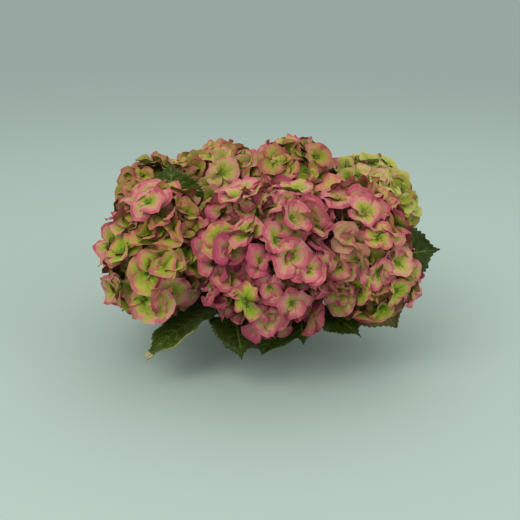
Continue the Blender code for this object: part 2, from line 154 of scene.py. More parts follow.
# How each bloom has coloured: the share of its florets in each scheme, how far out the green of
# its hearts reaches, how much further it reaches low on the bloom, how large its florets are, and
# how much fuller than a ball the bloom is at its shoulders, and low down at its sides
Colouring = namedtuple("Colouring", "schemes green greener_low size fullness")
COLOURINGS = {
    "front_centre": Colouring({"rose": 0.62, "deep": 0.28, "lime": 0.10}, 0.49, -0.05, 1.02, 0.14),
    "front_left": Colouring({"rose": 0.42, "deep": 0.03, "lime": 0.55}, 0.63, 0.05, 1.10, -0.08),
    "front_right": Colouring({"rose": 0.50, "lime": 0.38, "peach": 0.12}, 0.57, 0.22, 0.94, 0.10),
    "back_left": Colouring({"olive": 0.88, "lime": 0.12}, 0.70, 0, 0.84, 0),
    "mid_left": Colouring({"lime": 0.34, "olive": 0.24, "peach": 0.28, "rose": 0.14}, 0.70, 0, 0.92, 0.04),
    "top_centre": Colouring({"olive": 0.56, "rose": 0.20, "lime": 0.24}, 0.62, 0, 0.92, 0.10),
    "back_right": Colouring({"peach": 0.45, "pale": 0.40, "olive": 0.15}, 0.88, 0, 0.86, 0.02),
    "inner": Colouring({"rose": 0.40, "lime": 0.35, "olive": 0.25}, 0.62, 0, 0.88, 0),
    "rear_left": Colouring({"rose": 0.50, "lime": 0.30, "peach": 0.20}, 0.55, 0, 0.98, 0),
    "rear_centre": Colouring({"rose": 0.45, "lime": 0.35, "deep": 0.20}, 0.52, 0, 0.98, 0),
    "rear_right": Colouring({"rose": 0.50, "peach": 0.25, "lime": 0.25}, 0.58, 0, 0.98, 0),
}

# The colours that a sepal of each scheme runs through, from its heart to its rim, evenly spaced.
# The first, darkest green is partly the heart's own green and partly painted shade in the crease
# where the sepals of a floret meet
SCHEMES = {
    "rose": ("#4a5c12", "#728820", "#929832", "#ad9855", "#bf8672", "#bc6c70", "#ae4e5c"),
    "deep": ("#4e6018", "#767e2c", "#9c844c", "#b26e64", "#b35a68", "#a8465a", "#983c54"),
    "lime": ("#40560e", "#6a8616", "#889c22", "#9ca238", "#b09c4c", "#ba7e5e", "#b3605c"),
    "peach": ("#52681a", "#7a8c28", "#949a3a", "#a89e50", "#b89a68", "#bd8a70", "#b8766c"),
    "pale": ("#56741a", "#809430", "#9aa444", "#aeac58", "#bcaa6c", "#c09c74", "#bd8874"),
    "olive": ("#3a4e10", "#62741a", "#7e8622", "#948638", "#a2744a", "#a2644e", "#985048"),
}
SHADES = 10

LEAF_SHADES = {
    "Deep leaf green": "#2b380c",
    "Leaf green": "#364610",
    "Fresh leaf green": "#465a18",
    "Pale leaf green": "#5f7130",
    "Leaf vein": "#5f7439",
    "Bronzed leaf": "#5a4e26",
    "Bronzed vein": "#6c5c34",
    "Faded leaf edge": "#7c7f50",
    "Dry leaf edge": "#b3a67a",
    "Leaf underside": "#586b41",
}
# The shades of a leaf's blade, of its swellings, of its side veins and of its midrib
LEAF_STYLES = {
    "deep": ("Deep leaf green", "Leaf green", "Fresh leaf green", "Pale leaf green"),
    "fresh": ("Leaf green", "Fresh leaf green", "Pale leaf green", "Leaf vein"),
    "bronzed": ("Bronzed leaf", "Bronzed leaf", "Bronzed vein", "Bronzed vein"),
}
# Leaves that differ from the rest, by shoot and place on it: the style, the twist of the blade in
# degrees, the share that has dried at the tip, and how wide and how toothed it is
Looks = namedtuple("Looks", "style twist dry width toothed")
LEAF_LOOKS = {
    # Lighter here as painted light, for the light that the front left bloom shades off this leaf
    ("front_left", 0): Looks("fresh", 20, 0.06, 0.92, 0.3),
    ("front_left", 1): Looks("deep", 0, 0, 1.15, 1),
    ("front_right", 0): Looks("deep", 0, 0, 1.15, 1),
    ("front_right", 1): Looks("deep", -28, 0, 1.25, 1),
    ("front_right", 2): Looks("fresh", 0, 0, 1.50, 0.2),
    ("right", 0): Looks("deep", 0, 0, 1.30, 1),
    ("right", 1): Looks("bronzed", 10, 0, 1.7, 0.6),
    ("upper_left", 0): Looks("fresh", 0, 0, 1.7, 0.6),
}
USUAL_LEAF = Looks("deep", 0, 0, 0.97, 1)
# How far the florets keep from the midribs of these leaves
LEAF_ROOM = {
    ("front_left", 0): 0.024,
    ("front_left", 1): 0.010,
    ("front_left", 2): 0.020,
    ("front_right", 2): 0.010,
    ("right", 1): 0.044,
    ("upper_left", 0): 0.050,
    ("upper_right", 0): 0.022,
}

SEPAL_RINGS = 5
SEPAL_SPOKES = 12
SEPAL_VARIANTS = 24
SEPAL_HALF_ANGLE = math.radians(84)
SEPAL_CLAW = 0.05
BLADE_TEETH = 21
ROWS_PER_TOOTH = 4
BLADE_ROWS = ROWS_PER_TOOTH * BLADE_TEETH
BLADE_VEINS = 8
BLADE_COLUMNS = np.concatenate((np.linspace(-1, -0.03, 10), np.linspace(0.03, 1, 10)))
BLADE_THICKNESS = 0.0004
# Half widths of a blade: at its tip, at a torn tip, and where its teeth start to shrink
TIP_HALF_WIDTH = 0.0010
TORN_HALF_WIDTH = 0.0034
NARROW_HALF_WIDTH = 0.010


def linear(hex_colour):
    """The linear colour of an sRGB hex value."""
    channels = [int(hex_colour[start : start + 2], 16) / 255 for start in (1, 3, 5)]
    return tuple(c / 12.92 if c <= 0.04045 else ((c + 0.055) / 1.055) ** 2.4 for c in channels)


class HydrangeaSizes(bpy.types.PropertyGroup):
    """Sizes that a gardener would pick another plant by."""

    floret_width: FloatProperty(
        name="Floret width", description="Across a floret's four sepals",
        default=0.047, min=0.02, max=0.08, subtype="DISTANCE",
    )
    floret_spacing: FloatProperty(
        name="Floret spacing", description="From one floret's middle to the next on a bloom's face",
        default=0.037, min=0.02, max=0.06, subtype="DISTANCE",
    )
    sepal_wave: FloatProperty(
        name="Sepal wave", description="Height of the waves in a sepal's edge, as a share of its length",
        default=0.14, min=0, max=0.3, subtype="FACTOR",
    )
    leaf_tooth: FloatProperty(
        name="Leaf tooth", description="How far the teeth stand out of a leaf's edge",
        default=0.0028, min=0, max=0.008, subtype="DISTANCE",
    )
    vein_relief: FloatProperty(
        name="Vein relief", description="How far a leaf swells between its side veins",
        default=0.0013, min=0, max=0.004, subtype="DISTANCE",
    )
    bark_relief: FloatProperty(
        name="Bark relief", description="Depth of the furrows in the stool's bark",
        default=0.0016, min=0, max=0.004, subtype="DISTANCE",
    )
    bud_width: FloatProperty(
        name="Bud width", description="Across the closed flower in a floret's middle",
        default=0.0026, min=0.001, max=0.006, subtype="DISTANCE",
    )


class HydrangeaColours(bpy.types.PropertyGroup):
    """Colours of the woody parts and the studio."""

    bark: FloatVectorProperty(
        name="Bark", description="Old bark of the stool", default=linear("#6f5c42"), subtype="COLOR"
    )
    cane: FloatVectorProperty(
        name="Cane", description="Skin of the young canes", default=linear("#6a7a3c"), subtype="COLOR"
    )
    stalk: FloatVectorProperty(
        name="Stalk", description="Stalks of florets and leaves", default=linear("#8f9c5c"), subtype="COLOR"
    )
    bud: FloatVectorProperty(
        name="Bud", description="Closed flower in a floret's middle",
        default=linear("#7f8a3a"), subtype="COLOR",
    )
    floor: FloatVectorProperty(
        name="Floor", description="Matt floor of the studio", default=linear("#a9bbb4"), subtype="COLOR"
    )


class HydrangeaStudio(bpy.types.PropertyGroup):
    """Camera and floor of the studio."""

    distance: FloatProperty(
        name="Camera distance", description="From the camera to the middle of the crown",
        default=1.2, min=0.5, max=10, subtype="DISTANCE",
    )
    elevation: FloatProperty(
        name="Camera elevation", description="Angle that the camera looks down by",
        default=math.radians(18), subtype="ANGLE",
    )
    view_width: FloatProperty(
        name="View width", description="Width of the view at the middle of the crown",
        default=0.728, min=0.1, subtype="DISTANCE",
    )
    aim_height: FloatProperty(
        name="Aim height", description="Height that the camera looks at", default=0.125, subtype="DISTANCE"
    )
    floor_size: FloatProperty(
        name="Floor size", description="Side of the floor", default=60, min=5, subtype="DISTANCE"
    )


def unit(vector):
    """The vector at length one."""
    return vector / np.linalg.norm(vector)


def direction(azimuth, tilt=0.0):
    """The unit vector at this azimuth and tilt, in degrees."""
    turn, rise = math.radians(azimuth), math.radians(tilt)
    return Vector((math.cos(turn) * math.cos(rise), math.sin(turn) * math.cos(rise), math.sin(rise)))


def bezier(points, share):
    """The point at this share of a cubic curve through four control points."""
    a, b, c, d = points
    rest = 1 - share
    return a * rest**3 + b * 3 * rest**2 * share + c * 3 * rest * share**2 + d * share**3


def points_along(points, steps):
    """Points at even shares of a cubic curve, with both its ends."""
    return [bezier(points, step / steps) for step in range(steps + 1)]


def bloom_matrix(bloom):
    """Takes the unit ball to the bloom's envelope, with the ball's +Z facing outwards."""
    out = direction(bloom.facing, bloom.tilt)
    side = direction(bloom.facing + 90)
    columns = (side * bloom.width / 2, out.cross(side) * bloom.length / 2, out * bloom.depth / 2)
    return Matrix.Translation(bloom.centre) @ Matrix(columns).transposed().to_4x4()


def cane_route(name):
    """The four control points of the cane that carries this bloom."""
    bloom = BLOOMS[name]
    back = Vector(bloom.centre) - direction(bloom.facing, bloom.tilt) * bloom.depth / 2
    around = math.degrees(math.atan2(back.y, back.x))
    ring = INNER_RING if name in INNER_CANES else OUTER_RING
    foot = direction(around) * ring + Vector((STOOL_LEAN, 0, STOOL_HEIGHT - 0.001))
    reach = (back - foot).length
    arrive = direction(bloom.facing, bloom.tilt) * CANE_ARRIVAL * reach
    return foot, foot + Vector((0, 0, CANE_RISE * reach)), back - arrive, back


def shoot_route(name):
    """The four control points of the stem of this group of leaves."""
    shoot = SHOOTS[name]
    start = direction(shoot.start)
    foot = start * STOOL_WAIST_RADIUS + Vector((STOOL_LEAN, 0, STOOL_HEIGHT)) * STOOL_WAIST_SHARE
    tip = direction(shoot.azimuth) * shoot.reach + Vector((0, 0, shoot.height))
    reach = (tip - foot).length
    arrive = direction(shoot.azimuth, 40) * SHOOT_ARRIVAL * reach
    return foot, foot + start * SHOOT_DEPARTURE * reach, tip - arrive, tip


def borders(name):
    """Planes, each a point and an outward normal, that keep this bloom out of its neighbours."""
    here = Vector(BLOOMS[name].centre)
    inverse = bloom_matrix(BLOOMS[name]).inverted().to_3x3()
    found = []
    for other, bloom in BLOOMS.items():
        if other == name:
            continue
        way = Vector(bloom.centre) - here
        apart, way = way.length, way.normalized()
        mine = 1 / (inverse @ way).length
        theirs = 1 / (bloom_matrix(bloom).inverted().to_3x3() @ way).length
        if mine + theirs > 0.9 * apart:
            found.append((here + way * (apart * mine / (mine + theirs)), way))
    return found


def limbs_but(name):
    """Points along every cane but this bloom's and along every shoot."""
    routes = [cane_route(other) for other in BLOOMS if other != name]
    routes += [shoot_route(other) for other in SHOOTS]
    return [place for route in routes for place in points_along(route, 24)]


def leaf_middles(name, index):
    """Points along the midrib of this leaf of this shoot."""
    leaf = list(shoot_leaves(name))[index]
    return [leaf.root + leaf.pointing * (PETIOLE_LENGTH + leaf.length * step / 8) for step in range(9)]


def add_node(tree, kind, place, settings=None, links=None):
    """Adds a shader node at a place, with socket or property settings, and links into it.

    A socket is given by its name or its number. A Mix node's two colours are 6 and 7."""
    node = tree.nodes.new(kind)
    node.location = place
    for name, value in (settings or {}).items():
        if isinstance(name, int) or name in node.inputs:
            node.inputs[name].default_value = value
        else:
            setattr(node, name, value)
    for name, source in (links or {}).items():
        tree.links.new(source, node.inputs[name])
    return node


def bare_material(name):
    """A new material with no nodes yet."""
    material = bpy.data.materials.new(name)
    material.use_nodes = True
    material.node_tree.nodes.clear()
    return material, material.node_tree


def finish_material(material, shader):
    """The material, with a shader linked to its surface."""
    links = {"Surface": shader.outputs["BSDF"]}
    add_node(material.node_tree, "ShaderNodeOutputMaterial", (400, 0), links=links)
    return material


def sepal_finish(name, colour):
    """Papery sepal of one colour. Thin petal tissue is matt, with a short velvety sheen at its edges."""
    material, tree = bare_material(name + " sepal")
    settings = {"Base Color": (*colour, 1), "Roughness": 0.62, "IOR": 1.42, "Specular IOR Level": 0.26}
    settings |= {"Sheen Weight": 0.06, "Sheen Roughness": 0.4}
    shader = add_node(tree, "ShaderNodeBsdfPrincipled", (100, 0), settings)
    return finish_material(material, shader)


def sepal_finishes():
    """The finishes of one scheme after another, each evenly spaced from heart to rim."""
    finishes = []
    for scheme, stops in SCHEMES.items():
        stops = np.array([linear(stop) for stop in stops])
        for step in range(SHADES):
            at = step / (SHADES - 1) * (len(stops) - 1)
            below = min(int(at), len(stops) - 2)
            colour = stops[below] + (stops[below + 1] - stops[below]) * (at - below)
            finishes.append(sepal_finish(f"{scheme.capitalize()} {step + 1}", tuple(colour)))
    return finishes


def leaf_finish(name, colour):
    """Skin of a leaf or stalk in one colour. Its thin wax shines softly where it faces the light."""
    material, tree = bare_material(name)
    settings = {"Base Color": (*colour, 1), "Roughness": 0.5, "IOR": 1.45, "Specular IOR Level": 0.22}
    shader = add_node(tree, "ShaderNodeBsdfPrincipled", (100, 0), settings)
    return finish_material(material, shader)


def bark_finish(colour):
    """Stringy bark: dark furrows run up a brown stool, with grey patches of lichen."""
    material, tree = bare_material("Stool bark")
    place = add_node(tree, "ShaderNodeTexCoord", (-900, 0)).outputs["Object"]
    upright = add_node(tree, "ShaderNodeMapping", (-700, 0), {"Scale": (1, 1, 0.18)}, {"Vector": place})
    furrows = add_node(
        tree, "ShaderNodeTexNoise", (-500, 100),
        {"Scale": FURROWS_PER_METRE, "Detail": 6, "Roughness": 0.65},
        {"Vector": upright.outputs["Vector"]},
    )
    patches = add_node(
        tree, "ShaderNodeTexNoise", (-500, -150),
        {"Scale": LICHEN_PER_METRE, "Detail": 3},
        {"Vector": place},
    )
    dark = tuple(0.32 * channel for channel in colour)
    grey = tuple(0.5 * channel + 0.16 for channel in colour)
    streaks = add_node(
        tree, "ShaderNodeMix", (-250, 100),
        {"data_type": "RGBA", 6: (*dark, 1), 7: (*colour, 1)},
        {"Factor": furrows.outputs["Fac"]},
    )
    lichen = add_node(
        tree, "ShaderNodeMapRange", (-250, -150),
        {"From Min": 0.5, "From Max": 0.7},
        {"Value": patches.outputs["Fac"]},
    )
    coat = add_node(
        tree, "ShaderNodeMix", (-80, 60),
        {"data_type": "RGBA", 7: (*grey, 1)},
        {"Factor": lichen.outputs["Result"], 6: streaks.outputs[2]},
    )
    relief = add_node(
        tree, "ShaderNodeBump", (-80, -200),
        {"Strength": 0.6, "Distance": 0.0012},
        {"Height": furrows.outputs["Fac"]},
    )
    shader = add_node(
        tree, "ShaderNodeBsdfPrincipled", (120, 0),
        {"Roughness": 0.88},
        {"Base Color": coat.outputs[2], "Normal": relief.outputs["Normal"]},
    )
    return finish_material(material, shader)


def cane_finish(colour):
    """Young cane: smooth green skin, browner low down, dotted with brown cork pores."""
    material, tree = bare_material("Green cane skin")
    place = add_node(tree, "ShaderNodeTexCoord", (-900, 0)).outputs["Object"]
    pores = add_node(
        tree, "ShaderNodeTexVoronoi", (-600, -120),
        {"Scale": PORES_PER_METRE},
        {"Vector": place},
    )
    spots = add_node(
        tree, "ShaderNodeMapRange", (-400, -120),
        {"From Min": 0.10, "From Max": 0.22},
        {"Value": pores.outputs["Distance"]},
    )
    apart = add_node(tree, "ShaderNodeSeparateXYZ", (-700, 160), links={"Vector": place})
    height = add_node(
        tree, "ShaderNodeMapRange", (-500, 160),
        {"From Min": 0.045, "From Max": 0.13},
        {"Value": apart.outputs["Z"]},
    )
    ripening = add_node(
        tree, "ShaderNodeMix", (-280, 120),
        {"data_type": "RGBA", 6: (*linear("#6d5a3a"), 1), 7: (*colour, 1)},
        {"Factor": height.outputs["Result"]},
    )
    dotted = add_node(
        tree, "ShaderNodeMix", (-100, 60),
        {"data_type": "RGBA", 6: (*linear("#4a3a2a"), 1)},
        {"Factor": spots.outputs["Result"], 7: ripening.outputs[2]},
    )
    relief = add_node(
        tree, "ShaderNodeBump", (-100, -200),
        {"Strength": 0.4, "Distance": 0.0004},
        {"Height": spots.outputs["Result"]},
    )
    shader = add_node(
        tree, "ShaderNodeBsdfPrincipled", (120, 0),
        {"Roughness": 0.55},
        {"Base Color": dotted.outputs[2], "Normal": relief.outputs["Normal"]},
    )
    return finish_material(material, shader)


def joined(parts):
    """The points and the faces of one mesh made from parts, each an array of points and of faces."""
    faces = []
    count = 0
    for points, part_faces in parts:
        faces += (part_faces + count).tolist()
        count += len(points)
    return np.concatenate([points for points, _ in parts]), faces


def linked(name, data):
    """A new object of this mesh, curve, lamp or camera, linked to the scene."""
    thing = bpy.data.objects.new(name, data)
    bpy.context.scene.collection.objects.link(thing)
    return thing


def mesh_object(name, parts, finishes):
    """A smooth mesh joined from parts, with these finishes in its material slots."""
    points, faces = joined(parts)
    mesh = bpy.data.meshes.new(name)
    mesh.from_pydata(points.tolist(), [], faces)
    for finish in finishes:
        mesh.materials.append(finish)
    mesh.shade_smooth()
    return linked(name, mesh)


def mesh_piece(name, parts, shades, finishes, nodes):
    """A mesh joined from parts, with a finish for each face, that stands for these solids."""
    piece = mesh_object(name, parts, finishes)
    piece.data.polygons.foreach_set("material_index", np.asarray(shades, dtype=np.int32))
    piece.data.update()
    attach(piece, "root")
    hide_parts(*nodes)
    return piece


def take_mesh(thing):
    """The points and faces of a primitive, which is then removed."""
    points = np.array([vertex.co for vertex in thing.data.vertices])
    faces = np.array([face.vertices[:] for face in thing.data.polygons])
    bpy.data.objects.remove(thing, do_unlink=True)
    return points, faces


class Sepal:
    """One sepal of length 1: its claw at the origin, its tip along +Y and its face up.

    It keeps its points and faces, how far out each face is, and how far each face's colour runs
    ahead of that along its vein."""

    def __init__(self, seed, spokes, rings, wave):
        chance = random.Random(f"sepal {seed}")
        bpy.ops.mesh.primitive_grid_add(x_subdivisions=spokes, y_subdivisions=rings, size=2)
        grid, self.faces = take_mesh(bpy.context.active_object)
        across = grid[:, 0]
        column = np.round((across + 1) / 2 * spokes).astype(int)
        out = SEPAL_CLAW + (1 - SEPAL_CLAW) * ((grid[:, 1] + 1) / 2) ** 0.80
        # The rings of faces zigzag from spoke to spoke, so that colours end in a ragged line
        feather = np.array([chance.uniform(-0.2, 1.0) * (-1) ** spoke for spoke in range(spokes + 1)])
        out += 0.055 * feather[column] * np.sin(math.pi * (out - SEPAL_CLAW) / (1 - SEPAL_CLAW))
        # A round outline with a slight notch at the tip
        angle = across * SEPAL_HALF_ANGLE
        outline = np.cos(angle) ** chance.uniform(0.48, 0.68)
        outline *= 1 - chance.uniform(0, 0.06) * np.exp(-((angle / 0.14) ** 2))
        outline *= 1 + 0.022 * np.sin(6 * angle + chance.uniform(0, 6.3))
        reach = out * outline
        # Cupped at the heart and curled back at the rim, with raised sides and waves in the rim
        cup, curl = chance.uniform(0.25, 0.60), chance.uniform(0.25, 0.60)
        height = cup * out - curl * out**2
        height += chance.uniform(0.10, 0.60) * np.sin(angle) ** 2 * out * outline
        for least, most, waves, power in ((0.4, 1.1, 3.4, 2), (0.4, 0.9, 7, 3), (0.1, 0.35, 12, 5)):
            strength, phase = chance.uniform(least, most), chance.uniform(0, 6.3)
            height += strength * wave * np.sin(waves * angle + phase) * out**power
        # A crease along the middle, and pleats that fan out from the heart
        height -= 0.06 * np.exp(-((angle / 0.2) ** 2)) * np.sin(math.pi * out)
        pleats = np.array([chance.uniform(0.3, 1.6) * (-1) ** spoke for spoke in range(spokes + 1)])
        height += 0.013 * pleats[column] * np.sin(math.pi * 0.62 * out)
        broad = chance.uniform(1.02, 1.20)
        self.points = np.stack((broad * reach * np.sin(angle), reach * np.cos(angle), height), axis=1)
        self.out = out[self.faces].mean(axis=1)
        side = across[self.faces].mean(axis=1)
        spoke = np.round((side + 1) / 2 * spokes - 0.5).astype(int)
        veins = np.array([0.10 * chance.uniform(-1, 1) + 0.05 * (-1) ** spoke for spoke in range(spokes)])
        self.vein = 4 * (1 - self.out) * veins[spoke]
        self.vein += 0.10 * side**2 - 0.12 * np.exp(-((side / 0.20) ** 2))


def floret_places(name, spacing, seed):
    """(place on the bloom's envelope, outward) of florets on a spiral from its face to its back."""
    fullness = COLOURINGS[name].fullness
    bloom = BLOOMS[name]
    matrix = bloom_matrix(bloom)
    flat = matrix.to_3x3().inverted().transposed()
    chance = random.Random(f"florets {seed} {name}")
    a, b, c = bloom.width / 2, bloom.length / 2, bloom.depth / 2
    # The envelope's area over that of a unit ball, near enough, shares out the florets
    power = 1.6
    mean = (((a * b) ** power + (a * c) ** power + (b * c) ** power) / 3) ** (1 / power)
    count = round(4 * math.pi * mean * (1 - FLORET_BACK) / 2 / spacing**2)
    turned = chance.uniform(0, 2 * math.pi)
    for index in range(count):
        height = 1 - (index + 0.5) * (1 - FLORET_BACK) / count
        angle = turned + index * GOLDEN_ANGLE + chance.uniform(-0.22, 0.22)
        radius = math.sqrt(1 - height**2)
        spot = Vector((radius * math.cos(angle), radius * math.sin(angle), height))
        swell = 0.03 * math.sin(3 * angle + turned) * math.sin(4 * height + turned)
        way = (matrix.to_3x3() @ spot).normalized()
        shoulder = 1 - way.z**2 if way.z > 0 else way.x**2
        swell += fullness * 3 * way.z**2 * shoulder
        yield matrix @ (spot * (0.985 + swell)), (flat @ spot).normalized()


def sepal_shades(sepal, first, green, chance):
    """The finish of each face of a sepal, from its heart's green to its rim, by how far out it is.

    Its innermost faces take the darkest green, partly painted shade in the crease at the heart.
    """
    far = sepal.out + sepal.vein * sepal.out + chance.normal(0, SHADE_SPREAD, len(sepal.out))
    share = np.where(far < green, 0.5 * far / green, 0.5 + 0.5 * (far - green) / (1 - green))
    return first + np.clip(np.floor(share * SHADES), 0, SHADES - 1).astype(int)


# A layer of florets: their spacing, how deep they sit, how unevenly they tilt, the sepals they are
# made from and how much further out their green reaches
Layer = namedtuple("Layer", "spacing depth tilt sepals greener")


def grow_florets(name, layers, width):
    """Every sepal of a bloom as a part of a mesh, its faces' finishes, and where each floret sits.

    Florets turn a little upwards, and those of the blooms on top also towards the open front."""
    colouring = COLOURINGS[name]
    bloom = BLOOMS[name]
    chance = np.random.default_rng(sum(map(ord, name)))
    starts = [list(SCHEMES).index(scheme) * SHADES for scheme in colouring.schemes]
    weights = np.array(list(colouring.schemes.values()))
    planes = borders(name)
    obstacles = [(limb, LIMB_ROOM) for limb in limbs_but(name)]
    obstacles += [(rib, room) for leaf, room in LEAF_ROOM.items() for rib in leaf_middles(*leaf)]
    light = Vector((0, -0.45 if bloom.tilt > 40 else 0, 0.25))
    parts, shades, hearts = [], [], []
    for number, layer in enumerate(layers):
        for place, normal in floret_places(name, layer.spacing * colouring.size, number):
            length = 0.53 * width * colouring.size * chance.uniform(0.82, 1.14)
            opening = float(np.clip(chance.normal(OPENING, OPENING_SPREAD), *OPENING_LIMITS))
            outward = normal + Vector(chance.normal(0, layer.tilt, 3)) + light
            outward.normalize()
            opening *= 1 - 0.4 * max(0, outward.z) ** 2
            lean = math.sqrt(max(0, 1 - outward.dot(normal) ** 2))
            rise = length * (math.sin(opening) + 0.45 * lean + 0.05)
            middle = place - normal * (rise + layer.depth)
            if any((middle - at).dot(way) > BORDER_OVERLAP for at, way in planes):
                continue
            if any((middle - at).length < room for at, room in obstacles):
                continue
            turn = np.array(outward.to_track_quat("Z", "Y").to_matrix())
            spin = chance.uniform(0, 2 * math.pi)
            first = starts[chance.choice(len(starts), p=weights / weights.sum())]
            low = (bloom.centre[2] - middle[2]) / (bloom.length / 2)
            green = colouring.green + colouring.greener_low * low + chance.normal(0, 0.11) + layer.greener
            green = float(np.clip(green, *GREEN_LIMITS))
            hearts.append((np.array(middle), np.array(outward)))
            for quarter in range(4):
                sepal = layer.sepals[chance.integers(len(layer.sepals))]
                swing = spin + quarter * math.pi / 2 + chance.normal(0, 0.16)
                lift = opening + (0.10 if quarter % 2 else -0.06) + chance.normal(0, 0.18)
                twist = 0.12 + chance.normal(0, 0.10)
                local = Matrix.Rotation(swing, 3, "Z") @ Matrix.Rotation(lift, 3, "X")
                local = local @ Matrix.Rotation(twist, 3, "Y")
                size = length * chance.uniform(0.78, 1.16) * (1 if quarter % 2 else 1.07)
                grown = sepal.points @ (turn @ np.array(local)).T * size + np.array(middle)
                parts.append((grown, sepal.faces))
                shades.append(sepal_shades(sepal, first, green, chance))
    return parts, np.concatenate(shades), hearts


def stalk_prism(start, end, start_radius, end_radius, sides=3):
    """Points and faces of an open tapering prism."""
    along = unit(end - start)
    guide = (0, 0, 1) if abs(along[2]) < 0.9 else (1, 0, 0)
    side = unit(np.cross(along, guide))
    other = np.cross(along, side)
    angles = np.arange(sides) * 2 * math.pi / sides
    ring = np.outer(np.cos(angles), side) + np.outer(np.sin(angles), other)
    points = np.concatenate((start + ring * start_radius, end + ring * end_radius))
    faces = [(k, (k + 1) % sides, sides + (k + 1) % sides, sides + k) for k in range(sides)]
    return points, np.array(faces)


def stalks_and_buds(name, hearts, ball, bud_width):
    """The stalks inside a bloom and the bud in each floret, each a part and the finish it takes."""
    centre = np.array(Vector(BLOOMS[name].centre))
    back = np.array(cane_route(name)[3])
    hub = centre + HUB_SHARE * (back - centre)
    ball_points, ball_faces = ball
    yield stalk_prism(back, hub, CANE_TIP_RADIUS, HUB_RADIUS, 8), 0
    for middle, outward in hearts:
        fork = hub + FORK_SHARE * (middle - hub)
        yield stalk_prism(hub, fork, *STALK_RADII), 0
        yield stalk_prism(fork, middle - outward * TWIG_END, *TWIG_RADII), 0
        yield (ball_points * bud_width / 2 + middle + outward * BUD_LIFT, ball_faces), 1


def tube_piece(name, route, radii, roundness, finish, nodes):
    """A closed tapering tube along points, made as a bevelled curve and turned into a mesh."""
    curve = bpy.data.curves.new(name, "CURVE")
    curve.dimensions = "3D"
    curve.bevel_depth = 1.0
    curve.bevel_resolution = roundness
    curve.use_fill_caps = True
    spline = curve.splines.new("POLY")
    spline.points.add(len(route) - 1)
    for knot, place, radius in zip(spline.points, route, radii):
        knot.co = (*place, 1)
        knot.radius = radius
    select_only(linked(name, curve))
    bpy.ops.object.convert(target="MESH")
    piece = bpy.context.active_object
    bpy.ops.object.mode_set(mode="EDIT")
    bpy.ops.mesh.select_all(action="SELECT")
    bpy.ops.mesh.remove_doubles(threshold=1e-6)
    bpy.ops.mesh.normals_make_consistent(inside=False)
    bpy.ops.object.mode_set(mode="OBJECT")
    piece.data.materials.append(finish)
    piece.data.shade_smooth()
    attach(piece, "root")
    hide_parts(*nodes)
    return piece


def select_only(*things):
    """Selects these objects and nothing else, with the first one active."""
    bpy.ops.object.select_all(action="DESELECT")
    for thing in things:
        thing.select_set(True)
    bpy.context.view_layer.objects.active = things[0]


def leaf_outline(share, drip):
    """A leaf's half width at this share of its blade, as a share of its greatest half width.

    The drip is how much narrower the tip is than a round one."""
    body = np.sin(math.pi * share**0.78) ** 0.86 * (1 - 0.22 * share**3)
    return body * (1 - drip * np.clip((share - 0.78) / 0.12, 0, 1))


def blade(leaf, sizes, chance):
    """Points of a toothed and veined blade, as rows along it and columns across it.

    Also gives each face's height between two side veins, its place along the blade and across."""
    _, twist, dry, width, toothed = leaf.looks
    length, droop = leaf.length, leaf.droop
    side = np.array(leaf.pointing.cross(leaf.upper).normalized())
    ahead = np.array(leaf.pointing.normalized())
    upper = np.cross(side, ahead)
    share = np.linspace(0, 1, BLADE_ROWS + 1)
    tooth = (np.arange(BLADE_ROWS + 1) % ROWS_PER_TOOTH) / (ROWS_PER_TOOTH - 1)
    depth = np.repeat([chance.uniform(0.6, 1.3) for _ in range(BLADE_TEETH + 1)], ROWS_PER_TOOTH)
    across = BLADE_COLUMNS[None, :]
    edge = np.abs(across) ** 14
    # Teeth lean forward, and a dry tip is torn unevenly
    forward = share[:, None] + edge * 0.014 * (tooth[:, None] - 0.3)
    torn = np.array([chance.uniform(-0.9, 0.9) for _ in BLADE_COLUMNS])[None, :]
    forward = np.clip(forward, 0, 1) + dry * torn * (share[:, None] > 1 - dry / 2)
    # The midrib droops along an arc, and the blade twists about it
    bend = droop * forward
    base = np.array(leaf.root) + ahead * PETIOLE_LENGTH
    mid = base + ahead * (length * np.sin(bend) / droop)[..., None]
    mid = mid - upper * (length * (1 - np.cos(bend)) / droop)[..., None]
    normal = upper * np.cos(bend)[..., None] + ahead * np.sin(bend)[..., None]
    turned = math.radians(twist) * forward
    lateral = side * np.cos(turned)[..., None] + normal * np.sin(turned)[..., None]
    normal = normal * np.cos(turned)[..., None] - side * np.sin(turned)[..., None]
    outline = leaf_outline(share, 0.60 if dry else 0.60 * min(1, toothed))
    least = TORN_HALF_WIDTH if dry else TIP_HALF_WIDTH
    half = np.maximum(least, length * width * LEAF_WIDTH / 2 * outline)[:, None]
    serrated = edge * toothed * sizes.leaf_tooth * (depth[: BLADE_ROWS + 1] * tooth**1.2)[:, None]
    offset = across * (half + serrated * np.minimum(1, half / NARROW_HALF_WIDTH))
    # The blade folds up from its midrib, swells between its side veins and ripples at its edge
    phase = (forward - 0.22 * np.abs(across) ** 1.2) * (BLADE_VEINS + 1)
    swell = np.abs(np.sin(math.pi * phase)) ** 0.7
    lift = LEAF_FOLD * np.abs(offset) + sizes.vein_relief * swell * np.sin(math.pi * np.abs(across)) ** 0.5
    ripple = 0.045 * length * np.sin(8 * forward + chance.uniform(0, 6.3) + across) * np.abs(across) ** 2
    ripple += 0.016 * length * np.sin(26 * forward + 2 * across) * np.abs(across) ** 3
    lift = lift + ripple * (1 - 0.4 * forward)
    points = mid + lateral * offset[..., None] + normal * lift[..., None]
    return points, face_means(swell), face_means(forward), face_means(np.broadcast_to(across, forward.shape))


